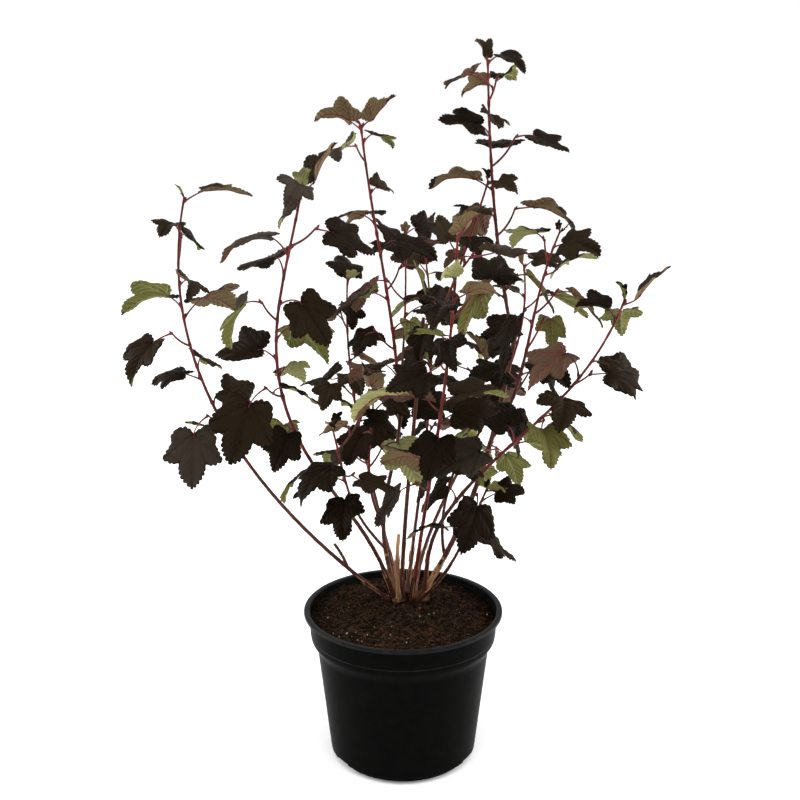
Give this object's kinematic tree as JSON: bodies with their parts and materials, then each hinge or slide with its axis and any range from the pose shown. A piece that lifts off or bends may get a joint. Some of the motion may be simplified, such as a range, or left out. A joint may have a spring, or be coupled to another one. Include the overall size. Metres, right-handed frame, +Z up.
{
  "type": "potted ninebark",
  "caption": "Potted ninebark: a many-stemmed shrub with dark, lobed, toothed leaves on arching crimson shoots, in a round black nursery pot filled with peat.",
  "frame": {"origin": "middle of the pot's flat underside", "axes": "+Z up, from the pot's underside to the tallest shoot; +X to the right and +Y to the back, seen from the side where the lone low shoot is on the left"},
  "size_m": [0.5867, 0.4864, 0.8223],
  "materials": {
    "pot": "black moulded plastic, satin at the lip",
    "soil": "damp peat with fibres and perlite",
    "old_wood": "tan wood with peeling bark",
    "bark": "smooth purple-brown bark, crimson on the young wood",
    "foliage": "nearly black satin above, olive green beneath"
  },
  "bodies": {
    "root": {"back_left_bough": "bark", "back_left_leaves": "foliage", "back_middle_bough": "bark", "back_middle_leaves": "foliage", "back_right_bough": "bark", "back_right_leaves": "foliage", "back_thin_leaves": "foliage", "centre_left_bough": "bark", "centre_left_leaves": "foliage", "far_left_bough": "bark", "far_left_leaves": "foliage", "far_right_bough": "bark", "far_right_leaves": "foliage", "front_bough": "bark", "front_leaves": "foliage", "inner_left_leaves": "foliage", "inner_right_leaves": "foliage", "inner_up_leaves": "foliage", "left_bough": "bark", "left_leaves": "foliage", "low_right_bough": "bark", "low_right_leaves": "foliage", "middle_leaves": "foliage", "pot": "pot", "pruned_middle": "bark", "pruned_right": "bark", "right_leaves": "foliage", "soil": "soil", "stool": "old_wood", "stub_left": "bark", "stub_upright": "old_wood", "tall_leaves": "foliage"}
  },
  "joints": []
}
